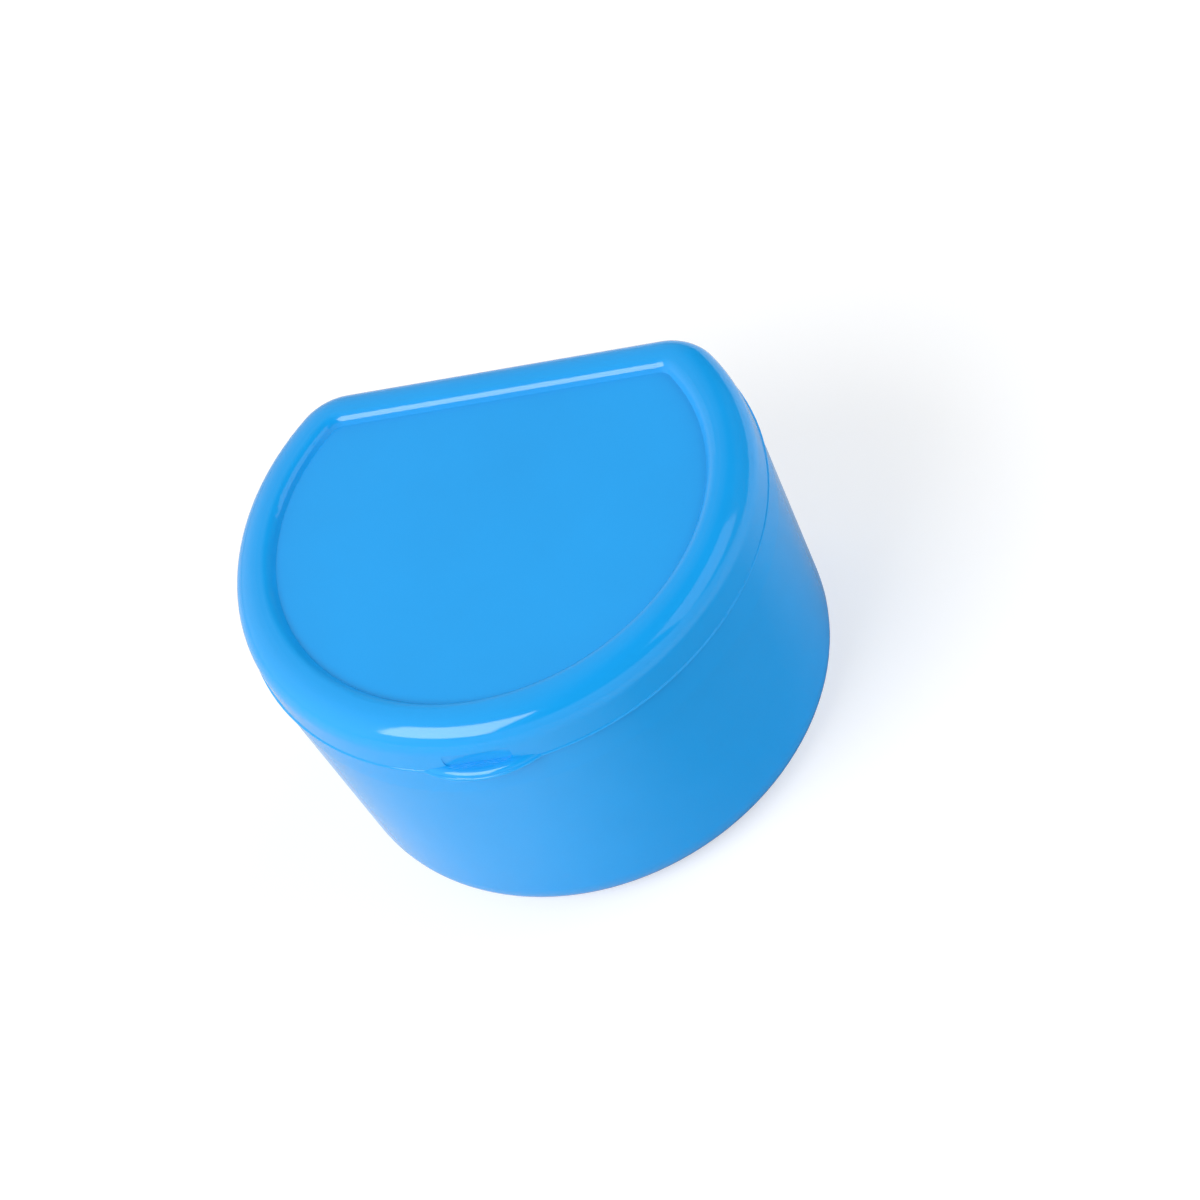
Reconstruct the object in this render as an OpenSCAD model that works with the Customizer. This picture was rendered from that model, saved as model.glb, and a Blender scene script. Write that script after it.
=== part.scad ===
// Denture case with a hinged lid and a lift-out strainer basket.
// Millimetres, +Z up, front at -Y, straight hinge side at +Y.
// The origin is the middle of the footprint, on the table.
//
// Every wall follows one D-shaped outline: a circle cut by a straight back, with rounded corners.
// A wall's section is drawn once in (t, z), where t is the distance outward from that outline,
// and is then carried round the D by d_sweep().

/* [Outline] */
// Width of the D outline, which is the diameter of its round front
case_w = 91; // [84:0.5:100]
// Depth of the D outline, from the round front to the straight back
outline_depth = 77; // [72:0.2:84]
// Radius of the two corners beside the straight back
corner_r = 10.5; // [9:0.1:13]
// Height from the table to the crest of the lid's bead
case_h = 56; // [50:0.5:70]

/* [Case] */
// Thickness of the case's wall above the foot
case_wall = 1.7; // [1.4:0.1:2.2]
// Thickness of the case's floor inside the foot ring
floor_t = 1.6; // [1.2:0.1:2.4]
// How far the wall leans in between its collar and the table
case_lean = 2.2; // [1.5:0.1:3]
// Outer radius where the wall turns into the foot
foot_r = 7.3; // [3:0.1:8]
// Width of the ring that the case stands on
foot_ring_w = 2.6; // [1.5:0.1:5]
// Depth of the recess inside that ring
foot_recess = 0.8; // [0.4:0.1:1.2]
// Height of the upright collar under the lid
collar_h = 5.8; // [5:0.1:8]
// How far the collar lies inside the lid's bead, seen from above
collar_inset = 0.2; // [0.1:0.05:0.4]
// Height of the neck that stands inside the lid's skirt
neck_h = 4.3; // [3.5:0.1:5]
// Thickness of the neck at its top
neck_wall = 1.1; // [0.9:0.1:1.4]
// How far the catch rib stands out of the neck
catch_proud = 0.2; // [0.1:0.05:0.25]
// Length of the catch rib round the front of the neck
catch_len = 32; // [20:1:50]

/* [Lid] */
// Height of the lid from its lower edge to the crest of its bead
lid_h = 9.4; // [8.5:0.1:11]
// Thickness of the lid
lid_wall = 1.3; // [1.1:0.1:1.6]
// Width of the bead round the panel
bead_w = 8; // [7.5:0.1:9]
// Radius of the bead's outer shoulder
bead_outer_r = 5; // [4:0.1:5.5]
// Radius of the bead's inner shoulder
bead_inner_r = 2; // [1.5:0.1:2.4]
// Slope of the bead's inner side where it meets the panel, in degrees from level
bead_slope = 55; // [45:1:65]
// Depth of the flat panel below the bead's crest
panel_drop = 1.6; // [1.3:0.1:2.4]
// How far the skirt flares out down to its lower edge
skirt_flare = 0.2; // [0.1:0.05:0.4]
// Radius of the round rim along the lid's lower edge
rim_r = 0.4; // [0.3:0.05:0.5]
// How far the rim stands out of the skirt and of the tab
rim_proud = 0.2; // [0.1:0.05:0.25]
// Gap between the lid's lower edge and the case's shoulder
seam_gap = 0.3; // [0.2:0.05:0.5]
// Gap between the neck and the inside of the lid's skirt
neck_gap = 0.4; // [0.35:0.05:0.5]

/* [Thumb tab] */
// Width of the crescent tab at the lid's front
tab_w = 20; // [14:0.5:28]
// How far the tab stands out in front of the skirt's rim
tab_reach = 1.9; // [1.2:0.1:2.4]
// Thickness of the tab
tab_t = 1.6; // [1.5:0.1:2.2]
// Radius of the tab's rolled upper edge
tab_roll_r = 1.4; // [0.8:0.1:1.4]
// Width of the finger scoop above the tab
scoop_w = 11.6; // [8:0.1:12.6]
// Height of the finger scoop
scoop_h = 2.8; // [2:0.1:3.4]
// Rounding of the scoop's corners
scoop_corner_r = 0.9; // [0.4:0.1:0.9]
// Depth of the finger scoop's flat floor at its middle
scoop_depth = 0.4; // [0.3:0.05:0.6]
// Distance from the tab's top up to the scoop
scoop_gap = 0.2; // [0.1:0.1:0.6]

/* [Hinge] */
// Radius of the hinge pin
pin_r = 1; // [0.7:0.05:1.2]
// Radius of the round knuckles
knuckle_r = 2.1; // [1.9:0.05:2.4]
// Radial clearance of the pin in the lid's knuckle
pin_clearance = 0.06; // [0.03:0.01:0.1]
// Radial clearance of the pin where the ears hold it
pin_grip_clearance = 0.01; // [0.01:0.01:0.03]
// Length of the bevel at each end of the pin
pin_bevel = 0.3; // [0.1:0.05:0.5]
// How far the pin's ends lie inside the ears' outer faces
pin_recess = 0.9; // [0.3:0.1:1.5]
// Gap between the lid's knuckle and the straight back of the case
knuckle_gap = 0.3; // [0.2:0.05:0.5]
// Distance from the case's shoulder down to the top of the knuckles
knuckle_drop = 0.3; // [0.2:0.05:0.8]
// Length of the lid's knuckle
lid_knuckle_len = 22; // [14:1:30]
// Height of the arm's root on the skirt above the lid's lower edge
arm_rise = 3.3; // [2.5:0.1:4]
// Length of each hinge ear on the case
ear_len = 6; // [4:0.5:9]
// Height of the rib under each ear, measured down the case's wall from the pin's axis
ear_rib_h = 5; // [4:0.5:8]
// Gap beside each knuckle along the pin
knuckle_side_gap = 0.3; // [0.2:0.05:0.5]
// Opening angle at which the heel of the lid's knuckle lies flat on the case's back
open_angle = 115; // [100:1:130]
// Gap that is left between that heel and the case's back
stop_gap = 0.15; // [0.1:0.05:0.2]

/* [Basket] */
// Gap between the basket and the inside of the case's neck
basket_gap = 0.4; // [0.3:0.05:0.8]
// Thickness of the basket's wall and floor
basket_wall = 1.2; // [1:0.1:1.5]
// Thickness of the flange that hangs on the neck
flange_t = 1.2; // [0.8:0.1:1.4]
// How far the flange reaches over the top of the neck
flange_reach = 0.85; // [0.6:0.05:1]
// Height of the basket's underside above the case's floor
basket_rise = 4; // [3:0.5:8]
// Radius of the basket's foot
basket_foot_r = 4; // [2:0.1:4.5]
// Spacing of the drain slots round the wall
slot_pitch = 8; // [6:0.5:12]
// Width of a drain slot
slot_w = 2.4; // [1.5:0.1:3]
// Height of the drain slots' lower ends above the basket's underside
slot_low = 8; // [7:0.5:14]
// Distance of the drain slots' upper ends below the flange
slot_high = 7; // [4:0.5:12]
// Spacing of the drain holes in the floor
hole_pitch = 8; // [6:0.5:12]
// Radius of a drain hole
hole_r = 2; // [1:0.1:2.4]
// Width of each finger tongue
tongue_w = 14; // [10:1:18]
// How far each finger tongue reaches in from the basket's wall
tongue_len = 8; // [5:0.5:10]

/* [Hidden] */
$fn = 96;

// Colours as the photo shows the case, with plainer ones for the hidden pieces
azure = [0.16, 0.60, 0.94];
steel = [0.75, 0.76, 0.78];
pale = [0.90, 0.95, 1.00];

// A small overlap that makes joined solids truly meet, and how far cutters run past the faces they cut
join = 0.4;
past = 1;

// Room that the wall sections keep from the centres of the corners, and the lap of the plates on them
core_gap = 0.1;
core_lap = 0.1;

// The D outline, measured from the centre of its round front
front_r = case_w / 2;
back_y = outline_depth - front_r;
corner_y = back_y - corner_r;
corner_x = sqrt(pow(front_r - corner_r, 2) - pow(corner_y, 2));
corner_a = atan2(corner_y, corner_x);

// The wall sections run inward to here, and flat plates fill the rest
core_t = core_gap - corner_r;

// Heights
skirt_z = case_h - lid_h;
shoulder_z = skirt_z - seam_gap;
collar_z = shoulder_z - collar_h;
neck_z = shoulder_z + neck_h;
bead_z = case_h - bead_outer_r;
panel_z = case_h - panel_drop;
inner_floor_z = foot_recess + floor_t;

// The case's outer wall, as a straight line in (t, z)
collar_t = -collar_inset;
foot_t = collar_t - case_lean;
outer_lean = (collar_t - foot_t) / collar_z;

// Where the crest of the bead ends and its inner shoulder begins
crest_in_t = -bead_w + bead_inner_r * sin(bead_slope)
    + (panel_drop - bead_inner_r * (1 - cos(bead_slope))) / tan(bead_slope);

// Centre of the rim along the lid's lower edge
rim_t = skirt_flare + rim_proud - rim_r;
rim_z = skirt_z + rim_r;

// The neck follows the slope of the lid's skirt
skirt_slope = skirt_flare / (bead_z - skirt_z);
skirt_inner_t = skirt_flare - lid_wall;
neck_low_t = skirt_inner_t - neck_gap;
neck_top_t = neck_low_t - skirt_slope * (neck_z - skirt_z);
mouth_t = neck_top_t - neck_wall;

// The case's inner wall, as a straight line from the mouth down to the wall's full thickness
wall_ref_z = foot_r;
wall_ref_t = foot_t + outer_lean * wall_ref_z - case_wall;
inner_lean = (mouth_t - wall_ref_t) / (neck_z - wall_ref_z);
inner_foot_t = wall_ref_t - inner_lean * (wall_ref_z - inner_floor_z);

// The hinge axis, and how far the hinge and the tab stand out of the D outline
axis_y = back_y + collar_t + knuckle_gap + knuckle_r;
axis_z = shoulder_z - knuckle_drop - knuckle_r;
heel_reach = knuckle_r + knuckle_gap - stop_gap;
hinge_back_y = axis_y + knuckle_r * sin(open_angle) - heel_reach * cos(open_angle);
rim_out_r = front_r + skirt_flare + rim_proud;
tab_front_y = -(rim_out_r + tab_reach);
pin_len = lid_knuckle_len + 2 * (knuckle_side_gap + ear_len - pin_recess);
ear_x = lid_knuckle_len / 2 + knuckle_side_gap;

// The footprint is centred on the origin
centre_y = -(tab_front_y + hinge_back_y) / 2;

// The basket
basket_top_t = mouth_t - basket_gap;
basket_z = inner_floor_z + basket_rise;
basket_foot_t = basket_top_t - inner_lean * (neck_z - basket_z);
flange_t_out = mouth_t + flange_reach;
basket_floor_z = basket_z + basket_wall;

// Largest radius, up to r, that still ends outside the flat core
function fitted_r(r, edge_t, lean) =
    min(r, (edge_t - core_t - core_lap) / (sqrt(1 + lean * lean) - lean));

// Centre, in (t, z), of a rounding between a level base and a wall that leans by lean
function rounding_centre(r, edge_t, base_z, lean) =
    [edge_t + r * lean - r * sqrt(1 + lean * lean), base_z + r];

// Whether a point lies inside the D outline moved inward past its corner radius
function inside_core(x, y, t) =
    x * x + y * y < pow(front_r + t, 2) && y < back_y + t;

// Where a line from p touches a circle of radius r about the origin; turn is 1 or -1 for its two sides
function touch_point(p, r, turn) =
    let (a = atan2(p[1], p[0]) + turn * acos(r / norm(p))) r * [cos(a), sin(a)];

// Moves a piece drawn about the centre of the round front to its place about the origin
module place() {
    translate([0, centre_y, 0]) children();
}

// Quarter of a disc, on the side of its centre that the signs in side point to
module quadrant(centre, r, side) {
    translate(centre) intersection() {
        circle(r);
        translate([min(side[0], 0) * r, min(side[1], 0) * r]) square(r);
    }
}

// What is cut off the round front: everything behind the lines from its centre to the corners' centres
module behind_front() {
    reach = 2 * case_w;
    polygon([
        [0, 0], 2 * [corner_x, corner_y], [2 * corner_x, reach],
        [-2 * corner_x, reach], 2 * [-corner_x, corner_y]
    ]);
}

// What is cut off a corner's circle: all but the stretch between the round front and the straight back
module beside_corner() {
    reach = 2 * case_w;
    polygon([
        [0, 0], [0, reach], [-reach, reach], [-reach, -reach],
        [reach, -reach], [reach, corner_y], [corner_x, corner_y]
    ]);
}

// Puts a piece at the right corner and its mirror image at the left one
module both_corners() {
    for (side = [0, 1])
        mirror([side, 0, 0]) translate([corner_x, corner_y, 0]) children();
}

// The D outline moved outward by t, as a flat shape
module d_shape(t) {
    r = front_r + t;
    arc_r = corner_r + t;
    if (arc_r > 0) {
        difference() {
            circle(r);
            behind_front();
        }
        both_corners() difference() {
            circle(arc_r);
            beside_corner();
        }
        polygon([
            [0, 0],
            [corner_x, corner_y], [corner_x, back_y + t],
            [-corner_x, back_y + t], [-corner_x, corner_y]
        ]);
    } else {
        intersection() {
            circle(r);
            translate([-2 * r, -2 * r]) square([4 * r, 2 * r + back_y + t]);
        }
    }
}

// Carries a section, drawn in (t, z), round the whole D outline
module d_sweep() {
    difference() {
        rotate([0, 0, 90]) rotate_extrude() translate([front_r, 0]) children();
        translate([0, 0, -past]) linear_extrude(2 * case_h) behind_front();
    }
    both_corners() difference() {
        rotate([0, 0, -90]) rotate_extrude() translate([corner_r, 0]) children();
        translate([0, 0, -past]) linear_extrude(2 * case_h) beside_corner();
    }
    translate([-corner_x, 0, 0]) rotate([90, 0, 90])
        linear_extrude(2 * corner_x) translate([back_y, 0]) children();
}

// Extrudes a shape drawn in (y, z) along X, centred on x
module along_x(length, x = 0) {
    translate([x - length / 2, 0, 0]) rotate([90, 0, 90]) linear_extrude(length) children();
}

// Outer edge of the recess under the floor, at the ring's width from where the foot's rounding ends
foot_round_r = fitted_r(foot_r, foot_t, outer_lean);
recess_t = rounding_centre(foot_round_r, foot_t, 0, outer_lean)[0] - foot_ring_w;

// A filled cup section: level base at base_z, leaning wall from (edge_t, base_z) up to (top_t, top_z)
module cup_section(edge_t, base_z, lean, top_t, top_z, r) {
    round_r = fitted_r(r, edge_t, lean);
    centre = rounding_centre(round_r, edge_t, base_z, lean);
    turn = atan(lean);
    quadrant(centre, round_r, [1, -1]);
    polygon([
        [core_t, base_z],
        [centre[0], base_z],
        centre + round_r * [cos(turn), -sin(turn)],
        [top_t, top_z],
        [core_t, top_z]
    ]);
}

// Section of the case's wall, from the foot to the top of the neck
module case_section() {
    difference() {
        union() {
            cup_section(foot_t, 0, outer_lean, collar_t, collar_z, foot_r);
            polygon([
                [core_t, collar_z], [collar_t, collar_z], [collar_t, shoulder_z],
                [neck_low_t, shoulder_z], [neck_top_t, neck_z], [core_t, neck_z]
            ]);
        }
        cup_section(inner_foot_t, inner_floor_z, inner_lean,
            mouth_t + inner_lean * past, neck_z + past, foot_r - case_wall);
        translate([core_t - past, inner_floor_z]) square([2 * past, case_h]);
    }
}

// Low rib round the front of the neck that the lid's lower edge snaps over
module catch_rib() {
    rib_r = catch_proud + join;
    rib_z = shoulder_z + neck_h / 2;
    neck_r = front_r + neck_low_t - skirt_slope * (rib_z - skirt_z);
    half_a = catch_len / neck_r * 90 / PI;
    rotate([0, 0, -90 - half_a]) rotate_extrude(angle = 2 * half_a)
        intersection() {
            translate([neck_r + catch_proud - rib_r, rib_z]) circle(rib_r);
            translate([neck_r - join, rib_z - rib_r]) square(2 * rib_r);
        }
}

// Side view of a hinge ear about the pin's axis: round knuckle, and a rib down to the wall
module ear_side() {
    root_y = -knuckle_gap - knuckle_r - join;
    foot = [root_y, -ear_rib_h];
    circle(knuckle_r);
    polygon([[0, 0], [0, knuckle_r], [root_y, knuckle_r], foot, touch_point(foot, knuckle_r, 1)]);
}

// One of the two ears that hold the pin's ends
module hinge_ear(side) {
    difference() {
        along_x(ear_len, side * (ear_x + ear_len / 2)) translate([axis_y, axis_z]) ear_side();
        along_x(2 * pin_len) translate([axis_y, axis_z]) circle(pin_r + pin_grip_clearance);
    }
}

module case_body() {
    color(azure) place() {
        difference() {
            union() {
                d_sweep() case_section();
                linear_extrude(inner_floor_z) d_shape(core_t + core_lap);
            }
            translate([0, 0, -past]) linear_extrude(past + foot_recess) d_shape(recess_t);
        }
        catch_rib();
        for (side = [-1, 1]) hinge_ear(side);
    }
}

// The lid's section as a filled block, moved inward by d: d = 0 is the outside, d = lid_wall the inside
module lid_block(d) {
    outer_c = [-bead_outer_r, bead_z];
    inner_c = [crest_in_t, case_h - bead_inner_r];
    slope_top = inner_c + (bead_inner_r - d) * [-sin(bead_slope), cos(bead_slope)];
    crease_t = slope_top[0] - (slope_top[1] - panel_z + d) / tan(bead_slope);
    lower_edge = d > 0
        ? [[core_t, skirt_z - past], [skirt_flare - d + skirt_slope * past, skirt_z - past]]
        : [[core_t, skirt_z], [rim_t, skirt_z], [skirt_flare, rim_z]];
    quadrant(outer_c, bead_outer_r - d, [1, 1]);
    quadrant(inner_c, bead_inner_r - d, [-1, 1]);
    polygon(concat(lower_edge, [
        [-d, bead_z],
        [outer_c[0], case_h - d],
        [inner_c[0], case_h - d],
        slope_top,
        [crease_t, panel_z - d],
        [core_t, panel_z - d]
    ]));
}

module lid_section() {
    difference() {
        union() {
            lid_block(0);
            translate([rim_t, rim_z]) circle(rim_r);
        }
        lid_block(lid_wall);
        translate([core_t - past, skirt_z - past]) square([2 * past, panel_z - lid_wall - skirt_z + past]);
    }
}

// Crescent tab: an arc that leaves the skirt at both ends, with a rolled upper edge above the rim
module thumb_tab() {
    skirt_sag = rim_out_r - sqrt(pow(rim_out_r, 2) - pow(tab_w / 2, 2));
    tab_sag = skirt_sag + tab_reach;
    tab_r = (pow(tab_w / 2, 2) + pow(tab_sag, 2)) / (2 * tab_sag);
    rim_c = [tab_r - rim_r, rim_r];
    roll_c = [tab_r - rim_proud - tab_roll_r, tab_t - tab_roll_r];
    root = tab_r - (rim_out_r - front_r) - tab_reach - lid_wall;
    difference() {
        translate([0, tab_front_y + tab_r, skirt_z]) rotate([0, 0, 180]) rotate_extrude(angle = 180) {
            translate(rim_c) circle(rim_r);
            quadrant(roll_c, tab_roll_r, [1, 1]);
            translate([root, 0]) square([roll_c[0] - root, tab_t]);
            translate([root, 0]) square([rim_c[0] - root, rim_r]);
        }
        translate([0, 0, skirt_z - past]) cylinder(r = front_r - lid_wall / 2, h = lid_h);
    }
}

// Shallow recess above the tab, with rounded corners and a flat floor that runs out at its ends
module finger_scoop() {
    flat_w = scoop_w - 2 * scoop_corner_r;
    flat_h = scoop_h - 2 * scoop_corner_r;
    middle_z = skirt_z + tab_t + scoop_gap + scoop_h / 2;
    translate([0, scoop_depth - front_r, middle_z]) rotate([90, 0, 0]) linear_extrude(2 * past) {
        square([flat_w, scoop_h], center = true);
        square([scoop_w, flat_h], center = true);
        for (x = [-1, 1], z = [-1, 1])
            translate([x * flat_w / 2, z * flat_h / 2]) circle(scoop_corner_r);
    }
}

// Side view of the lid's knuckle about the pin's axis: the arm that hangs it on the skirt, and the
// square heel that turns down to the case's back when the lid opens
module lid_knuckle_side() {
    edge_z = skirt_z - axis_z;
    arm_root = [back_y - axis_y, edge_z + arm_rise];
    circle(knuckle_r);
    polygon([
        [0, 0], [-knuckle_r, 0], [-knuckle_r, edge_z], [arm_root[0] - lid_wall / 2, edge_z],
        arm_root - [lid_wall / 2, 0], arm_root, touch_point(arm_root, knuckle_r, -1)
    ]);
    rotate(open_angle) translate([-heel_reach, -knuckle_r]) square([heel_reach, knuckle_r]);
}

module lid_shell() {
    color(azure) place() difference() {
        union() {
            d_sweep() lid_section();
            translate([0, 0, panel_z - lid_wall]) linear_extrude(lid_wall) d_shape(core_t + core_lap);
            thumb_tab();
            along_x(lid_knuckle_len) translate([axis_y, axis_z]) lid_knuckle_side();
        }
        finger_scoop();
        along_x(2 * pin_len) translate([axis_y, axis_z]) circle(pin_r + pin_clearance);
    }
}

// Straight pin with a bevel at each end
module hinge_pin() {
    color(steel) place() translate([-pin_len / 2, axis_y, axis_z]) rotate([0, 90, 0])
        rotate_extrude() polygon([
            [0, 0], [pin_r - pin_bevel, 0], [pin_r, pin_bevel],
            [pin_r, pin_len - pin_bevel], [pin_r - pin_bevel, pin_len], [0, pin_len]
        ]);
}

// Section of the basket's wall with its flange
module basket_section() {
    top_z = neck_z + flange_t;
    inner_t = basket_foot_t - basket_wall;
    difference() {
        union() {
            cup_section(basket_foot_t, basket_z, inner_lean, basket_top_t, neck_z, basket_foot_r);
            translate([core_t, neck_z]) square([flange_t_out - core_t, flange_t]);
        }
        cup_section(inner_t, basket_floor_z, inner_lean,
            inner_t + inner_lean * (top_z + past - basket_floor_z), top_z + past,
            basket_foot_r - basket_wall);
        translate([core_t - past, basket_floor_z]) square([2 * past, case_h]);
    }
}

// Upright slot with round ends, cut outward through a wall that lies at x = 0
module drain_slot() {
    low_z = basket_z + slot_low + slot_w / 2;
    high_z = neck_z - slot_high - slot_w / 2;
    reach = basket_foot_r + basket_wall;
    translate([-reach, 0, 0]) rotate([90, 0, 90]) linear_extrude(2 * reach) {
        translate([-slot_w / 2, low_z]) square([slot_w, high_z - low_z]);
        translate([0, low_z]) circle(slot_w / 2);
        translate([0, high_z]) circle(slot_w / 2);
    }
}

// Slots all round the basket: evenly along the round front, one in each corner, evenly along the back
module drain_slots() {
    wall_r = front_r + basket_foot_t;
    front_arc = 180 + 2 * corner_a;
    front_count = floor(front_arc * PI / 180 * wall_r / slot_pitch);
    back_count = floor(2 * corner_x / slot_pitch);
    for (i = [0.5 : front_count])
        rotate([0, 0, 180 - corner_a + i * front_arc / front_count])
            translate([wall_r, 0, 0]) drain_slot();
    for (side = [0, 1])
        mirror([side, 0, 0]) translate([corner_x, corner_y, 0])
            rotate([0, 0, (corner_a + 90) / 2]) translate([corner_r + basket_foot_t, 0, 0])
                drain_slot();
    for (i = [0.5 : back_count])
        translate([(2 * i / back_count - 1) * corner_x, back_y + basket_foot_t, 0])
            rotate([0, 0, 90]) drain_slot();
}

// Staggered round holes through the flat of the basket's floor
module drain_holes() {
    row = hole_pitch * sqrt(3) / 2;
    rows = ceil(front_r / row);
    for (j = [-rows : rows], i = [-rows : rows]) {
        x = (i + (j % 2 == 0 ? 0 : 0.5)) * hole_pitch;
        y = j * row;
        if (inside_core(x, y, core_t - 2 * hole_r))
            translate([x, y, basket_z - past]) cylinder(r = hole_r, h = basket_wall + 2 * past);
    }
}

// Flat tongue with a round tip that reaches in from the flange, to lift the basket by
module finger_tongue() {
    tip_r = tongue_w / 2;
    mouth_r = front_r + basket_top_t - basket_wall;
    tip_x = mouth_r - tongue_len + tip_r;
    translate([0, 0, neck_z]) linear_extrude(flange_t) intersection() {
        circle(mouth_r + basket_wall / 2);
        union() {
            translate([tip_x, 0]) circle(tip_r);
            translate([tip_x, -tip_r]) square([tongue_len, tongue_w]);
        }
    }
}

module strainer_basket() {
    color(pale) place() {
        difference() {
            union() {
                d_sweep() basket_section();
                translate([0, 0, basket_z]) linear_extrude(basket_wall) d_shape(core_t + core_lap);
            }
            drain_slots();
            drain_holes();
        }
        for (side = [0, 1]) mirror([side, 0, 0]) finger_tongue();
    }
}

case_body();
lid_shell();
hinge_pin();
strainer_basket();
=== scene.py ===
# Looks, light and camera for the denture case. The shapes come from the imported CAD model.
# Metres, +Z up, thumb tab at -Y, hinge at +Y.

import math

import bpy
from mathutils import Matrix, Vector

# Camera, as the photograph was taken: from the front right and above, rolled in the picture
CAMERA_AZIMUTH = math.radians(27.492)
CAMERA_ELEVATION = math.radians(48.829)
CAMERA_ROLL = math.radians(-30.215)
CAMERA_DISTANCE = 0.8008
CAMERA_CENTRE = Vector((0.0, 0.00162, 0.028))
CAMERA_SHIFT_RIGHT = 0.00973
CAMERA_SHIFT_UP = 0.00398
SENSOR_WIDTH = 36.0
LENS = 143.75

# Lamps: direction in degrees (0 is the front, towards +X is positive), size and brightness.
# Sizes are for a lamp at one metre, and radiance is the brightness that a mirror would show.
KEY_LAMP = {"azimuth": -34, "elevation": 45, "width": 0.68, "height": 0.60, "radiance": 5.6}
SIDE_LAMP = {"azimuth": 92, "elevation": 41, "width": 0.75, "height": 0.58, "radiance": 1.0}
FILL_LAMP = {"azimuth": 125, "elevation": 22, "width": 1.2, "height": 0.8, "radiance": 2.2}
LAMP_DISTANCE = 1.4

FLOOR_RADIUS = 6.0
FLOOR_SIDES = 96
FLOOR_COLOUR = (0.78, 0.78, 0.78)

# The camera sees the paper half lit and half glowing, so that it reads white under a soft shadow.
# Further out it glows more, as the lamps no longer reach it.
SEEN_FLOOR_COLOUR = (0.5, 0.5, 0.5)
SEEN_GLOW_NEAR = 0.56
SEEN_GLOW_FAR = 1.0
SEEN_NEAR_R = 0.12
SEEN_FAR_R = 0.45

# Painted shade seen only in reflections: the glossy plastic mirrors a round grey patch on the paper at
# its front right, which the camera and the light bouncing off the paper don't see
MIRRORED_SHADE_COLOUR = (0.18, 0.18, 0.18)
MIRRORED_SHADE_CENTRE = (0.082, -0.034, 0.0)
MIRRORED_SHADE_INNER_R = 0.04
MIRRORED_SHADE_OUTER_R = 0.095

# The room: a white sweep that rises in front, below the camera, under walls that darken to the right
ROOM_COLOUR = (1.0, 1.0, 1.0)
ROOM_LEFT = 0.95
ROOM_RIGHT = 0.05
ROOM_LEFT_X = -0.75
ROOM_RIGHT_X = 0.13
SWEEP_GLOW = 0.7
SWEEP_RISE = math.radians(29.0)
SWEEP_AZIMUTH = math.radians(27.5)
SWEEP_EDGE = 0.02

# Colours of the plastics and the steel, written as linear light
AZURE = (0.008, 0.345, 0.835)
PALE = (0.72, 0.83, 0.92)
STEEL = (0.55, 0.56, 0.58)
REFRACTION = 1.5

# Fine detail of the surfaces, in features per metre
CLOUD_SCALE = 32.0
SPECK_SCALE = 1400.0
GLOSS_SCALE = 60.0
WAVE_SCALE = 55.0
GRAIN_SCALE = 2600.0
SCRATCH_SCALE = (14.0, 900.0, 900.0)
RING_SCALE = (9000.0, 60.0, 60.0)
STAIN_SCALE = 260.0
MOTTLE_SCALE = 6.0

# The part of its range that a noise mostly fills, and how much it then changes the looks
NOISE_LOW = 0.3
NOISE_HIGH = 0.7
GLOSS_CHANGE = 0.025
RING_DEPTH = 0.00001


class Nodes:
    """A short way to add nodes to a material or world and to link them."""

    def __init__(self, owner):
        owner.use_nodes = True
        self.tree = owner.node_tree
        self.tree.nodes.clear()

    def add(self, kind, **settings):
        node = self.tree.nodes.new(kind)
        for name, value in settings.items():
            setattr(node, name, value)
        return node

    def link(self, source, target):
        self.tree.links.new(source, target)

    def noise(self, vector, scale, detail=2.0):
        node = self.add("ShaderNodeTexNoise")
        node.inputs["Scale"].default_value = scale
        node.inputs["Detail"].default_value = detail
        self.link(vector, node.inputs["Vector"])
        return node.outputs["Fac"]

    def stretch(self, vector, scale, turn=(0.0, 0.0, 0.0)):
        node = self.add("ShaderNodeMapping")
        node.inputs["Scale"].default_value = scale
        node.inputs["Rotation"].default_value = turn
        self.link(vector, node.inputs["Vector"])
        return node.outputs["Vector"]

    def ranged(self, value, low, high, to_low, to_high):
        node = self.add("ShaderNodeMapRange")
        node.inputs["From Min"].default_value = low
        node.inputs["From Max"].default_value = high
        node.inputs["To Min"].default_value = to_low
        node.inputs["To Max"].default_value = to_high
        self.link(value, node.inputs["Value"])
        return node.outputs["Result"]

    def maths(self, operation, a, b):
        node = self.add("ShaderNodeMath", operation=operation)
        for socket, value in zip(node.inputs, (a, b)):
            if isinstance(value, (int, float)):
                socket.default_value = value
            else:
                self.link(value, socket)
        return node.outputs["Value"]

    def mix_colour(self, factor, a, b):
        node = self.add("ShaderNodeMix", data_type="RGBA")
        self.link(factor, node.inputs["Factor"])
        for socket, value in ((node.inputs["A"], a), (node.inputs["B"], b)):
            if isinstance(value, tuple):
                socket.default_value = (*value, 1.0)
            else:
                self.link(value, socket)
        return node.outputs["Result"]

    def bump(self, height, distance, normal=None):
        node = self.add("ShaderNodeBump")
        node.inputs["Strength"].default_value = 1.0
        node.inputs["Distance"].default_value = distance
        self.link(height, node.inputs["Height"])
        if normal is not None:
            self.link(normal, node.inputs["Normal"])
        return node.outputs["Normal"]

    def surface(self, **settings):
        """The material's shader, with settings named as its sockets are."""
        shader = self.add("ShaderNodeBsdfPrincipled")
        output = self.add("ShaderNodeOutputMaterial")
        for name, value in settings.items():
            shader.inputs[name].default_value = value
        self.link(shader.outputs["BSDF"], output.inputs["Surface"])
        return shader


def scaled(colour, factor):
    return tuple(channel * factor for channel in colour)


def hairlines(nodes, position, turn, amount):
    """Sparse fine scratches that run one way: the peaks of a noise stretched along them."""
    along = nodes.stretch(position, SCRATCH_SCALE, turn)
    lines = nodes.noise(along, 1.0, detail=1.0)
    return nodes.ranged(lines, 0.70, 0.78, 0.0, amount)


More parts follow.
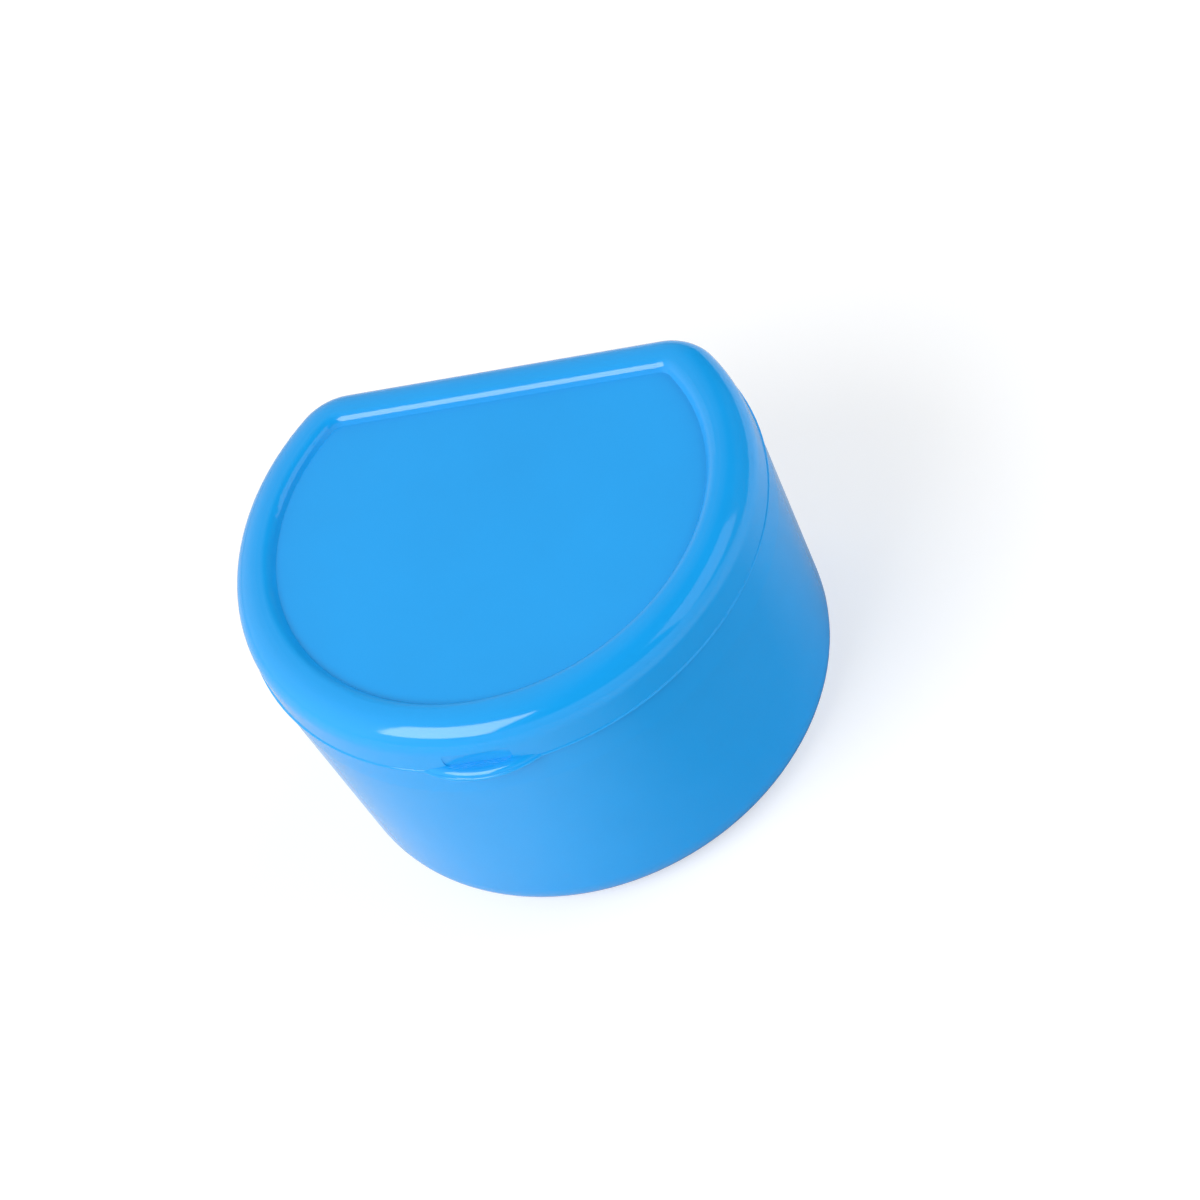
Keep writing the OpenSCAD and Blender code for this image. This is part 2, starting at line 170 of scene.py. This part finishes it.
def moulded_plastic(name, base, roughness, waviness, grain):
    """Injection-moulded plastic: faint pigment clouds, wavy gloss, fine grain and hairlines.

    Waviness and grain are the depths in metres of the slow waves and of the fine grain."""
    material = bpy.data.materials.new(name)
    nodes = Nodes(material)
    position = nodes.add("ShaderNodeTexCoord").outputs["Object"]
    shader = nodes.surface(IOR=REFRACTION)

    clouds = nodes.noise(position, CLOUD_SCALE, detail=3.0)
    specks = nodes.noise(position, SPECK_SCALE, detail=1.0)
    tone = nodes.ranged(clouds, NOISE_LOW, NOISE_HIGH, 0.0, 1.0)
    colour = nodes.mix_colour(tone, scaled(base, 0.965), scaled(base, 1.03))
    fleck = nodes.ranged(specks, 0.62, 0.80, 0.0, 0.06)
    colour = nodes.mix_colour(fleck, colour, scaled(base, 0.8))
    nodes.link(colour, shader.inputs["Base Color"])

    patches = nodes.noise(position, GLOSS_SCALE, detail=4.0)
    dullest = roughness + GLOSS_CHANGE
    glossiest = roughness - GLOSS_CHANGE
    uneven = nodes.ranged(patches, NOISE_LOW, NOISE_HIGH, glossiest, dullest)
    marks = nodes.maths(
        "ADD",
        hairlines(nodes, position, (0.2, 0.1, 0.6), 0.10),
        hairlines(nodes, position, (0.1, 0.3, 2.1), 0.08),
    )
    nodes.link(nodes.maths("ADD", uneven, marks), shader.inputs["Roughness"])

    wave = nodes.bump(nodes.noise(position, WAVE_SCALE, detail=1.0), waviness)
    skin = nodes.bump(nodes.noise(position, GRAIN_SCALE), grain, normal=wave)
    nodes.link(skin, shader.inputs["Normal"])
    return material


def ground_steel(name, base):
    """Steel rod with the fine rings that grinding leaves round it."""
    material = bpy.data.materials.new(name)
    nodes = Nodes(material)
    position = nodes.add("ShaderNodeTexCoord").outputs["Object"]
    shader = nodes.surface(Metallic=1.0)
    rings = nodes.noise(nodes.stretch(position, RING_SCALE), 1.0, detail=3.0)
    stains = nodes.noise(position, STAIN_SCALE, detail=3.0)
    colour = nodes.mix_colour(stains, scaled(base, 0.88), scaled(base, 1.08))
    nodes.link(colour, shader.inputs["Base Color"])
    nodes.link(nodes.ranged(rings, NOISE_LOW, NOISE_HIGH, 0.20, 0.38), shader.inputs["Roughness"])
    nodes.link(nodes.bump(rings, RING_DEPTH), shader.inputs["Normal"])
    return material


def floor_material():
    """Matt white paper with a faint mottle; the plastic mirrors it greyer at the front right, a
    painted shade that only reflections see.
    """
    material = bpy.data.materials.new("white_paper")
    nodes = Nodes(material)
    position = nodes.add("ShaderNodeTexCoord").outputs["Object"]
    path = nodes.add("ShaderNodeLightPath")
    shader = nodes.surface(Roughness=0.9)
    mottle = nodes.noise(position, MOTTLE_SCALE, detail=4.0)
    paper = nodes.mix_colour(mottle, scaled(FLOOR_COLOUR, 0.99), FLOOR_COLOUR)

    # Painted shade seen only in reflections: a round grey patch on the paper that only glossy rays
    # see.
    offset = nodes.add("ShaderNodeVectorMath", operation="DISTANCE")
    nodes.link(position, offset.inputs[0])
    offset.inputs[1].default_value = MIRRORED_SHADE_CENTRE
    shade_patch = nodes.ranged(offset.outputs["Value"], MIRRORED_SHADE_INNER_R, MIRRORED_SHADE_OUTER_R, 1.0, 0.0)
    glossy_shade_patch = nodes.maths("MULTIPLY", shade_patch, path.outputs["Is Glossy Ray"])
    mirrored = nodes.mix_colour(glossy_shade_patch, paper, MIRRORED_SHADE_COLOUR)
    colour = nodes.mix_colour(path.outputs["Is Camera Ray"], mirrored, SEEN_FLOOR_COLOUR)
    nodes.link(colour, shader.inputs["Base Color"])

    distance = nodes.add("ShaderNodeVectorMath", operation="LENGTH")
    nodes.link(position, distance.inputs[0])
    further_out = distance.outputs["Value"]
    seen_glow = nodes.ranged(further_out, SEEN_NEAR_R, SEEN_FAR_R, SEEN_GLOW_NEAR, SEEN_GLOW_FAR)
    glow = nodes.maths("MULTIPLY", path.outputs["Is Camera Ray"], seen_glow)
    shader.inputs["Emission Color"].default_value = (1.0, 1.0, 1.0, 1.0)
    nodes.link(glow, shader.inputs["Emission Strength"])
    return material


def paint(obj, material):
    obj.data.materials.clear()
    obj.data.materials.append(material)


def direction(azimuth, elevation):
    """Unit vector towards a place seen from the object, with azimuth 0 at the front."""
    return Vector((
        math.sin(azimuth) * math.cos(elevation),
        -math.cos(azimuth) * math.cos(elevation),
        math.sin(elevation),
    ))


def placed(place, right, up, back):
    """World matrix of a lamp or camera that looks against its back direction."""
    return Matrix.Translation(place) @ Matrix((right, up, back)).transposed().to_4x4()


def add_lamp(name, azimuth, elevation, width, height, radiance, mirrored=True):
    """Upright rectangular softbox that faces the object; glossy plastic mirrors it or not."""
    azimuth = math.radians(azimuth)
    elevation = math.radians(elevation)
    back = direction(azimuth, elevation)
    right = Vector((math.cos(azimuth), math.sin(azimuth), 0.0))
    up = back.cross(right)
    lamp = bpy.data.lights.new(name, "AREA")
    lamp.shape = "RECTANGLE"
    lamp.size = width * LAMP_DISTANCE
    lamp.size_y = height * LAMP_DISTANCE
    lamp.energy = radiance * math.pi * lamp.size * lamp.size_y
    obj = bpy.data.objects.new(name, lamp)
    obj.matrix_world = placed(back * LAMP_DISTANCE, right, up, back)
    obj.visible_glossy = mirrored
    bpy.context.scene.collection.objects.link(obj)


def add_floor():
    """A round white floor, wide enough for every view."""
    mesh = bpy.data.meshes.new("floor")
    turns = [2 * math.pi * side / FLOOR_SIDES for side in range(FLOOR_SIDES)]
    ring = [(FLOOR_RADIUS * math.cos(turn), FLOOR_RADIUS * math.sin(turn), 0.0) for turn in turns]
    mesh.from_pydata(ring, [], [tuple(range(FLOOR_SIDES))])
    mesh.materials.append(floor_material())
    floor = bpy.data.objects.new("floor", mesh)
    bpy.context.scene.collection.objects.link(floor)


def add_world():
    """A white sweep up to a slanting edge, and above it a room that is pale on the left.

    The camera itself sees plain white behind the floor."""
    world = bpy.data.worlds.new("studio")
    bpy.context.scene.world = world
    nodes = Nodes(world)
    toward = nodes.add("ShaderNodeTexCoord").outputs["Generated"]
    parts = nodes.add("ShaderNodeSeparateXYZ")
    nodes.link(toward, parts.inputs["Vector"])
    wall = nodes.ranged(parts.outputs["X"], ROOM_LEFT_X, ROOM_RIGHT_X, ROOM_LEFT, ROOM_RIGHT)

    above_edge = nodes.add("ShaderNodeVectorMath", operation="DOT_PRODUCT")
    nodes.link(toward, above_edge.inputs[0])
    above_edge.inputs[1].default_value = direction(SWEEP_AZIMUTH + math.pi, math.pi / 2 - SWEEP_RISE)
    is_wall = nodes.ranged(above_edge.outputs["Value"], -SWEEP_EDGE, SWEEP_EDGE, 0.0, 1.0)
    glow = nodes.add("ShaderNodeMix", data_type="FLOAT")
    nodes.link(is_wall, glow.inputs["Factor"])
    glow.inputs["A"].default_value = SWEEP_GLOW
    nodes.link(wall, glow.inputs["B"])

    path = nodes.add("ShaderNodeLightPath")
    strength = nodes.maths("MAXIMUM", glow.outputs["Result"], path.outputs["Is Camera Ray"])
    background = nodes.add("ShaderNodeBackground")
    background.inputs["Color"].default_value = (*ROOM_COLOUR, 1.0)
    nodes.link(strength, background.inputs["Strength"])
    output = nodes.add("ShaderNodeOutputWorld")
    nodes.link(background.outputs["Background"], output.inputs["Surface"])


def add_camera():
    """The photograph's camera: its place, roll and lens were fitted to the photographed outline."""
    back = direction(CAMERA_AZIMUTH, CAMERA_ELEVATION)
    level = Vector((math.cos(CAMERA_AZIMUTH), math.sin(CAMERA_AZIMUTH), 0.0))
    upright = back.cross(level)
    right = math.cos(CAMERA_ROLL) * level + math.sin(CAMERA_ROLL) * upright
    up = math.cos(CAMERA_ROLL) * upright - math.sin(CAMERA_ROLL) * level
    place = CAMERA_CENTRE + back * CAMERA_DISTANCE + right * CAMERA_SHIFT_RIGHT + up * CAMERA_SHIFT_UP
    data = bpy.data.cameras.new("camera")
    data.sensor_width = SENSOR_WIDTH
    data.lens = LENS
    data.dof.use_dof = False
    camera = bpy.data.objects.new("camera", data)
    camera.matrix_world = placed(place, right, up, back)
    bpy.context.scene.collection.objects.link(camera)
    bpy.context.scene.camera = camera


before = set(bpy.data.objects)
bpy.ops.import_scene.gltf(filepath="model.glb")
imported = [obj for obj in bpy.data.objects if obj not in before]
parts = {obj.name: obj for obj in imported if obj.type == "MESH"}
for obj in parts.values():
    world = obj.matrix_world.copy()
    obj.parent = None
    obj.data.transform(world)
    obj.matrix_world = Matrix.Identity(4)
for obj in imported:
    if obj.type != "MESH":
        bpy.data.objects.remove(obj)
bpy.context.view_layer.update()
bpy.context.scene.view_settings.view_transform = "Standard"

azure_plastic = moulded_plastic(
    "azure_plastic", AZURE, roughness=0.10, waviness=0.00006, grain=0.0000012
)
basket_plastic = moulded_plastic(
    "basket_plastic", PALE, roughness=0.34, waviness=0.00004, grain=0.000003
)
paint(parts["case_body"], azure_plastic)
paint(parts["lid_shell"], azure_plastic)
paint(parts["strainer_basket"], basket_plastic)
paint(parts["hinge_pin"], ground_steel("pin_steel", STEEL))

add_floor()
add_world()
add_lamp("key_lamp", **KEY_LAMP)
add_lamp("side_lamp", **SIDE_LAMP)
add_lamp("fill_lamp", **FILL_LAMP, mirrored=False)
add_camera()
